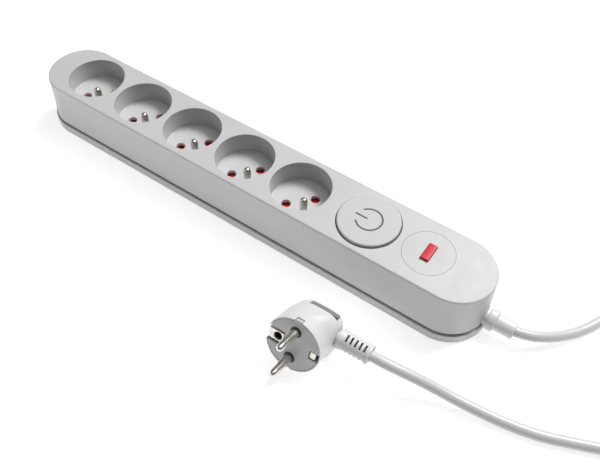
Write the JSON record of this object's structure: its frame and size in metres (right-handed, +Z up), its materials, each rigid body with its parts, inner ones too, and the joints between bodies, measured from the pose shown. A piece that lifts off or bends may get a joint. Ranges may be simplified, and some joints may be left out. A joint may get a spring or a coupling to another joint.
{
  "type": "power strip",
  "caption": "Long round-ended power strip with round shuttered sockets, a push button with an engraved symbol, a pilot light, and a corded angled mains plug.",
  "frame": {"origin": "centre of the case's footprint, on the surface that it stands on, the cord and plug left out", "axes": "+X along the case towards the end that the cord leaves, +Z up out of the sockets, +Y completes the right-handed frame"},
  "size_m": [0.5233, 0.1909, 0.0416],
  "materials": {
    "case_grey": "fine-textured moulded light grey plastic",
    "shutter_red": "smooth moulded red plastic",
    "lens_red": "translucent red plastic, polished",
    "nickel": "nickel-plated turned metal",
    "brass": "stamped bare brass strip",
    "zinc_steel": "zinc-plated steel",
    "switch_black": "black moulded plastic",
    "inner_plastic": "natural unpainted plastic",
    "glass": "clear glass envelope",
    "resistor_tan": "tan lacquer",
    "core_brown": "brown wire insulation",
    "core_blue": "blue wire insulation",
    "core_earth": "green and yellow wire insulation",
    "cord_white": "smooth semi-gloss flexible sheath",
    "plug_white": "semi-gloss moulded white plastic",
    "plug_grey": "matte moulded grey plastic",
    "tie_grey": "dark woven strap"
  },
  "bodies": {
    "root": {"base_shell": "case_grey", "cable_clamp": "inner_plastic", "cable_tail": "cord_white", "case_screw_1": "zinc_steel", "case_screw_2": "zinc_steel", "case_screw_3": "zinc_steel", "case_screw_4": "zinc_steel", "case_screw_5": "zinc_steel", "clamp_screw_1": "zinc_steel", "clamp_screw_2": "zinc_steel", "coil_tie": "tie_grey", "cord_coil": "cord_white", "cord_lead": "cord_white", "cord_return": "cord_white", "earth_bar": "brass", "earth_core": "core_earth", "earth_pin_1": "nickel", "earth_pin_2": "nickel", "earth_pin_3": "nickel", "earth_pin_4": "nickel", "earth_pin_5": "nickel", "lamp_resistor": "resistor_tan", "line_bar": "brass", "line_core": "core_brown", "neon_lamp": "glass", "neutral_bar": "brass", "neutral_core": "core_blue", "pilot_lens": "lens_red", "pilot_plate": "case_grey", "plug_body": "plug_white", "plug_earth_clip": "nickel", "plug_earth_contact": "nickel", "plug_face": "plug_grey", "plug_grip_lower": "plug_grey", "plug_grip_upper": "plug_grey", "plug_pin_line": "nickel", "plug_pin_neutral": "nickel", "plug_strain_relief": "plug_white", "shutter_plate": "inner_plastic", "shutter_spring_1": "zinc_steel", "shutter_spring_2": "zinc_steel", "shutter_spring_3": "zinc_steel", "shutter_spring_4": "zinc_steel", "shutter_spring_5": "zinc_steel", "strain_relief": "plug_white", "switch_body": "switch_black", "switch_spring": "zinc_steel", "switch_terminal_in": "brass", "switch_terminal_out": "brass", "switched_core": "core_brown", "top_cover": "case_grey"},
    "button": {"power_button": "case_grey", "switch_plunger": "inner_plastic"},
    "shutter_1_body": {"shutter_1": "shutter_red"},
    "shutter_2_body": {"shutter_2": "shutter_red"},
    "shutter_3_body": {"shutter_3": "shutter_red"},
    "shutter_4_body": {"shutter_4": "shutter_red"},
    "shutter_5_body": {"shutter_5": "shutter_red"}
  },
  "joints": [
    {"name": "button_press", "type": "slide", "parent": "root", "child": "button", "axis": [0, 0, -1], "range_m": [0, 0.0025], "stiffness_N_per_m": 600, "springref_m": -0.002, "deforming": ["switch_spring"]},
    {"name": "shutter_1_slide", "type": "slide", "parent": "root", "child": "shutter_1_body", "axis": [-0.7071, 0.7071, 0], "range_m": [0, 0.0063], "stiffness_N_per_m": 100, "springref_m": -0.002, "deforming": ["shutter_spring_1"]},
    {"name": "shutter_2_slide", "type": "slide", "parent": "root", "child": "shutter_2_body", "axis": [-0.7071, 0.7071, 0], "range_m": [0, 0.0063], "stiffness_N_per_m": 100, "springref_m": -0.002, "deforming": ["shutter_spring_2"]},
    {"name": "shutter_3_slide", "type": "slide", "parent": "root", "child": "shutter_3_body", "axis": [-0.7071, 0.7071, 0], "range_m": [0, 0.0063], "stiffness_N_per_m": 100, "springref_m": -0.002, "deforming": ["shutter_spring_3"]},
    {"name": "shutter_4_slide", "type": "slide", "parent": "root", "child": "shutter_4_body", "axis": [-0.7071, 0.7071, 0], "range_m": [0, 0.0063], "stiffness_N_per_m": 100, "springref_m": -0.002, "deforming": ["shutter_spring_4"]},
    {"name": "shutter_5_slide", "type": "slide", "parent": "root", "child": "shutter_5_body", "axis": [-0.7071, 0.7071, 0], "range_m": [0, 0.0063], "stiffness_N_per_m": 100, "springref_m": -0.002, "deforming": ["shutter_spring_5"]}
  ]
}
